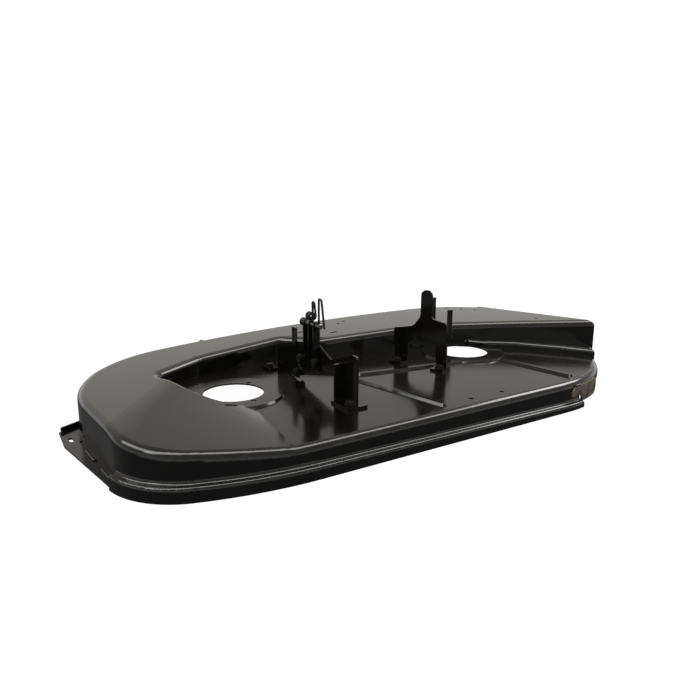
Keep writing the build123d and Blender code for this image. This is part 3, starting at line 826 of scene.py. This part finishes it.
@dataclass
class SpringClips:
    """The two bent wires on the lift pin and the thin tie wire by the fork, as tubes along their bends.

    Places are the drawing's, in millimetres. A wire's corners are forward places and heights above the table.
    """

    wire_mm: float = 1.85
    bend_mm: float = 3.4
    wire_rows: int = 160
    crease_deg: float = 60.0
    plane_x: float = -125.7
    table_z: float = 48.2
    coil_mm: float = 5.5
    coil_z: float = 171.2
    coil_y: Pair = (-28.0, -41.6)
    coil_turns: float = 4.0
    turn_points: int = 28
    inner: tuple[Pair, ...] = ((-41.6, 121), (-40, 148), (-46, 148), (-51, 124))
    outer: tuple[Pair, ...] = ((-60, 98), (-60, 155.5), (-68, 155.5), (-77, 108))
    tie_mm: float = 0.8
    tie_x: float = -121.6
    tie: tuple[Pair, ...] = ((27, 82), (18, 84), (2, 88.5), (-21, 90))

    def bent(self, corners: Sequence[Pair], plane_x: float) -> np.ndarray:
        """Path of a bent wire in an upright plane.

        Args:
            corners: The wire's corners.
            plane_x: Where the plane stands.

        Returns:
            Rows of x, y and z in the drawing.
        """
        flat = np.asarray(corners, float)
        points = np.column_stack([np.full(len(flat), plane_x), flat[:, 0], flat[:, 1] + self.table_z])
        return rounded(points, self.bend_mm)

    def coil(self) -> np.ndarray:
        """Path of the coil: a point that turns about a level axis while it moves along it at an even rate.

        Returns:
            Rows of x, y and z in the drawing.
        """
        t = np.linspace(0, 1, int(self.turn_points * self.coil_turns))
        turn = 2 * np.pi * self.coil_turns * t
        side = self.plane_x + self.coil_mm * np.cos(turn)
        along = self.coil_y[0] + (self.coil_y[1] - self.coil_y[0]) * t
        return np.column_stack([side, along, self.coil_z + self.coil_mm * np.sin(turn)])

    def wire(self, run: np.ndarray, radius_mm: float, guide: Triple) -> ArrayPair:
        """A wire along a path in the drawing.

        Args:
            run: Rows of x, y and z in millimetres.
            radius_mm: The wire's radius.
            guide: A direction that the path never follows.

        Returns:
            Places and quads.
        """
        path = resampled(placed(run), self.wire_rows)
        return tube(path, domed(radius_mm * MM, self.wire_rows), guide)

    def build(self, wire: bpy.types.Material) -> None:
        """Builds both clips and the tie wire.

        Args:
            wire: The wire's material.
        """
        coiled = joined([
            self.wire(self.coil(), self.wire_mm, FORWARD),
            self.wire(self.bent(self.inner, self.plane_x), self.wire_mm, ACROSS),
        ])
        hairpin = self.wire(self.bent(self.outer, self.plane_x), self.wire_mm, ACROSS)
        tie = self.wire(self.bent(self.tie, self.tie_x), self.tie_mm, ACROSS)
        for name, (places, quads), node in (
            ("coiled_clip", coiled, "retainer_clip_inner"),
            ("hairpin_clip", hairpin, "retainer_clip_outer"),
            ("tie_wire", tie, None),
        ):
            piece = dressed(mesh_object(name, places, quads, self.crease_deg), wire)
            if node:
                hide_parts(node)


@dataclass
class Fasteners:
    """Hexagon bolts with a washer face and cut thread, and their nuts.

    The head's crown is the circle where its top starts to fall, and a share of it is dished.
    """

    flats_mm: float = 13.0
    head_mm: float = 5.5
    crown_share: float = 0.94
    fall_share: float = 0.55
    dish_share: float = 0.6
    dish_mm: float = 0.3
    flange_mm: float = 8.4
    washer_mm: float = 1.2
    neck_share: float = 1.25
    middle_mm: float = 0.02
    shank_mm: float = 4.0
    pitch_mm: float = 1.25
    pitch_rows: int = 6
    thread_depth_mm: float = 0.35
    tip_shares: Triple = (0.93, 0.82, 0.02)
    head_reach_mm: float = 6.0
    place_digits: int = 6
    columns: int = 48
    bolt_crease_deg: float = 35.0
    nut_crease_deg: float = 30.0
    nut_edge_mm: float = 0.4

    def hexagon(self, turn: np.ndarray) -> np.ndarray:
        """Distance from the axis to a hexagon's side.

        It is half the flats over the cosine of the angle from the side's middle.

        Args:
            turn: Angles in radians.

        Returns:
            Distances in millimetres.
        """
        sixth = np.pi / 3
        return self.flats_mm / 2 / np.cos((turn % sixth) - sixth / 2)

    def head_rows(self, turn: np.ndarray) -> ArrayPair:
        """Radii and heights of the head's rows, from the top's middle down to the seat.

        Past the crown the top falls by a share of what the hexagon stands past that circle.

        Args:
            turn: Angles in radians.

        Returns:
            Radii and heights, one row for each step and one column for each angle.
        """
        side, one = self.hexagon(turn), np.ones_like(turn)
        crown = self.crown_share * self.flats_mm / 2
        drop = self.fall_share * (side - crown)
        top, sunk, flange = self.head_mm * one, (self.head_mm - self.dish_mm) * one, self.flange_mm * one
        neck, washer = self.neck_share * self.washer_mm * one, self.washer_mm * one
        radii = [self.middle_mm * one, self.dish_share * crown * one, crown * one, side, side, flange, flange]
        heights = [sunk, sunk, top, top - drop, neck, washer, 0.0 * one]
        return np.array(radii), np.array(heights)

    def shank_rows(self, turn: np.ndarray, length: float) -> ArrayPair:
        """Radii and heights of the shank: a triangle ridge that climbs by one pitch in a turn.

        Args:
            turn: Angles in radians.
            length: Length under the head, in millimetres.

        Returns:
            Radii and heights as for the head.
        """
        steps = int(length / self.pitch_mm * self.pitch_rows)
        height = -np.linspace(0.0, length, steps)[:, None] + 0 * turn[None]
        phase = height / self.pitch_mm - turn[None] / (2 * np.pi)
        ridge = np.abs((phase % 1.0) - 0.5) * 2
        radii = self.shank_mm - self.thread_depth_mm * ridge
        last = len(self.tip_shares)
        radii[-last:] *= np.array(self.tip_shares)[:, None]
        height[1 - last:] = height[-last]
        return radii, height

    def length(self, node: str) -> float:
        """Whole length of a bolt in millimetres, which is its box's longest side."""
        low, high = (np.array(corner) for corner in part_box(node))
        return float((high - low).max() / MM)

    def seat(self, node: str) -> ArrayPair:
        """Place of a bolt head's seat, and its axes as rows.

        The axis is the direction in which the mesh spreads most. The head is the part that stands farther
        from the axis than the shank.

        Args:
            node: The CAD node.

        Returns:
            The seat's middle in metres, and the local axes.
        """
        places = np.unique(np.round(node_points(node), self.place_digits), axis=0)
        middle = (places.min(0) + places.max(0)) / 2
        axis = np.linalg.svd(places - middle, full_matrices=False)[2][0]
        off = (places - middle) - np.outer((places - middle) @ axis, axis)
        head = places[np.linalg.norm(off, axis=1) > self.head_reach_mm * MM]
        centre = head.mean(0)
        up = axis if ((head - middle) @ axis).mean() > 0 else -axis
        seat = ((head - centre) @ up).min()
        side = head[0] - centre
        side -= (side @ up) * up
        side /= np.linalg.norm(side)
        return centre + seat * up, np.array([side, np.cross(up, side), up])

    def bolt(self, node: str, oxide: bpy.types.Material) -> None:
        """Builds one bolt where the CAD has it: rows of points at their radii and heights round the axis.

        Args:
            node: The CAD node.
            oxide: The blackened finish.
        """
        turn = np.linspace(0, 2 * np.pi, self.columns, endpoint=False)
        head, shank = self.head_rows(turn), self.shank_rows(turn, self.length(node) - self.head_mm)
        radii, heights = (np.concatenate(rows) for rows in zip(head, shank))
        local = np.stack([radii * np.cos(turn), radii * np.sin(turn), heights], -1).reshape(-1, 3) * MM
        origin, axes = self.seat(node)
        faces = grid_faces(len(radii), self.columns, True)[:, ::-1]
        piece = mesh_object(node + "_threaded", origin + local @ axes, faces, self.bolt_crease_deg)
        dressed(piece, oxide)
        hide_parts(node)

    def build(self, oxide: bpy.types.Material) -> None:
        """Builds every bolt, and dresses the CAD's nuts.

        Args:
            oxide: The blackened finish.
        """
        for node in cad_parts:
            if node.endswith("_bolt"):
                self.bolt(node, oxide)
            elif node.endswith("_nut"):
                nut = merged_copy(node, node + "_faces", self.nut_crease_deg)
                eased(nut, self.nut_edge_mm)
                dressed(nut, oxide)
                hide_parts(node)


@dataclass
class LiftPin:
    """The headed pin, from its CAD form."""

    node: str = "lift_pin"
    crease_deg: float = 30.0
    edge_mm: float = 0.4

    def build(self, bright: bpy.types.Material) -> None:
        """Builds and dresses the pin.

        Args:
            bright: The turned steel.
        """
        pin = merged_copy(self.node, "turned_pin", self.crease_deg)
        eased(pin, self.edge_mm)
        dressed(pin, bright)
        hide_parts(self.node)


@dataclass(frozen=True)
class SoftBox:
    """A soft box: its place and size in metres and its power in watts."""

    place: Triple
    size: Pair
    watts: float


@dataclass
class Studio:
    """Pale glowing floor, a surround with a white horizon, soft boxes and the camera.

    The surround's stops are heights of a direction, from -1 for straight down to 1 for straight up. The
    camera's eye is in the drawing, in millimetres, and its heading turns from the deck's front to its right.
    """

    floor_m: float = 80.0
    floor_colour: Colour = (0.03, 0.03, 0.03, 1.0)
    floor_shade: Colour = (0.0291, 0.0291, 0.0291, 1.0)
    floor_grain: Grain = Grain(3.0, 2.0, 0.5)
    floor_roughness: float = 0.8
    floor_glow: float = 0.985
    floor_crease_deg: float = 60.0
    surround: tuple[tuple[float, Colour], ...] = (
        (-0.14, (0.12, 0.12, 0.12, 1.0)),
        (-0.04, WHITE),
        (0.203, WHITE),
        (0.252, (0.58, 0.56, 0.53, 1.0)),
    )
    boxes: tuple[SoftBox, ...] = (
        SoftBox((0.0, -0.5, 2.2), (6.0, 0.8), 105.0),
        SoftBox((-1.8, 0.6, 1.95), (0.9, 1.8), 27.0),
        SoftBox((2.7, 0.1, 2.1), (1.0, 1.0), 26.0),
    )
    aim: Triple = (0.0, 0.0, 0.05)
    eye: Triple = (-735.71, -1042.39, 412.4)
    heading_deg: float = 34.3851
    pitch_deg: float = 14.2599
    roll_deg: float = 0.4599
    focal_px: float = 721.4
    frame_px: float = 700.0
    sensor_mm: float = 36.0
    clip_m: Pair = (0.01, 200.0)

    def floor(self) -> None:
        """A level plane, as a two by two grid of its corners, which glows but isn't seen in reflections."""
        half = self.floor_m / 2
        u, v = np.meshgrid([-half, half], [-half, half])
        points = np.stack([u, v, np.zeros_like(u)], -1).reshape(-1, 3)
        piece = mesh_object("floor", points, grid_faces(2, 2, False), self.floor_crease_deg)
        g = Graph(bpy.data.materials.new("pale_floor"))
        piece.data.materials.append(g.finish({
            "Base Color": g.mix(g.noise(self.floor_grain), self.floor_colour, self.floor_shade),
            "Roughness": self.floor_roughness,
            "Emission Color": WHITE,
            "Emission Strength": self.floor_glow,
        }))
        piece.visible_glossy = False

    def surround_light(self) -> None:
        """The surround: white about the horizon, dark below it and dimmer higher up.

        Its ramp reads one half plus half the direction's height.
        """
        world = bpy.data.worlds.new("studio_surround")
        g = Graph(world)
        height = g.make("SeparateXYZ", {}, {0: g.make("TexCoord", {}, {}, "Generated")}, "Z")
        stops = [(0.5 + 0.5 * place, colour) for place, colour in self.surround]
        tone = g.make("ValToRGB", {"stops": stops}, {0: 0.5 + 0.5 * height})
        g.make("OutputWorld", {}, {"Surface": g.make("Background", {}, {"Color": tone, "Strength": 1.0})})
        bpy.context.scene.world = world

    def soft_boxes(self) -> None:
        """The soft boxes, turned to the deck's middle."""
        for number, box in enumerate(self.boxes, 1):
            lamp = bpy.data.lights.new(f"soft_box_{number}", "AREA")
            lamp.shape = "RECTANGLE"
            lamp.size, lamp.size_y = box.size
            lamp.energy = box.watts
            piece = bpy.data.objects.new(lamp.name, lamp)
            place = np.array(box.place)
            piece.matrix_world = self.facing(place, np.array(ACROSS), place - np.array(self.aim))
            bpy.context.scene.collection.objects.link(piece)

    def facing(self, place: np.ndarray, right: np.ndarray, back: np.ndarray) -> Matrix:
        """Placing of something that looks along its own -Z.

        Args:
            place: Where it stands.
            right: Its X axis, roughly.
            back: Its Z axis.

        Returns:
            The matrix.
        """
        back = back / np.linalg.norm(back)
        up = np.cross(back, right)
        up /= np.linalg.norm(up)
        matrix = np.eye(4)
        matrix[:3] = np.column_stack([np.cross(up, back), up, back, place])
        return Matrix(matrix.tolist())

    def camera(self) -> None:
        """The camera at the photograph's place, with its focal length.

        It looks along (sin heading cos pitch, cos heading cos pitch, -sin pitch). Its right-hand side is
        level, and then rolls towards its top.
        """
        heading, pitch, roll = np.radians([self.heading_deg, self.pitch_deg, self.roll_deg])
        ahead = np.array([np.sin(heading) * np.cos(pitch), np.cos(heading) * np.cos(pitch), -np.sin(pitch)])
        level = np.array([np.cos(heading), -np.sin(heading), 0.0])
        right = np.cos(roll) * level + np.sin(roll) * np.cross(level, ahead)
        lens = bpy.data.cameras.new("studio_camera")
        lens.sensor_width = self.sensor_mm
        lens.lens = self.sensor_mm * self.focal_px / self.frame_px
        lens.clip_start, lens.clip_end = self.clip_m
        piece = bpy.data.objects.new("studio_camera", lens)
        piece.matrix_world = self.facing(placed([self.eye])[0], right, -ahead)
        bpy.context.scene.collection.objects.link(piece)
        bpy.context.scene.camera = piece

    def build(self) -> None:
        """Sets the whole stage."""
        self.floor()
        self.surround_light()
        self.soft_boxes()
        self.camera()
        bpy.context.scene.view_settings.view_transform = "Standard"


def main() -> None:
    """Builds every sub-assembly in order and notes the sizes."""
    logging.basicConfig(level=logging.INFO, format="%(name)s %(message)s")
    paint = FITTING_PAINT.material()
    PressedShell().build(SHELL_PAINT.material())
    SheetFittings().build(paint, WORN_PAINT.material())
    WeldBeads().build(paint)
    LiftPin().build(BRIGHT_STEEL.material())
    SpringClips().build(SPRING_WIRE.material())
    Fasteners().build(BLACK_OXIDE.material())
    Studio().build()


if __name__ == "__main__":
    main()
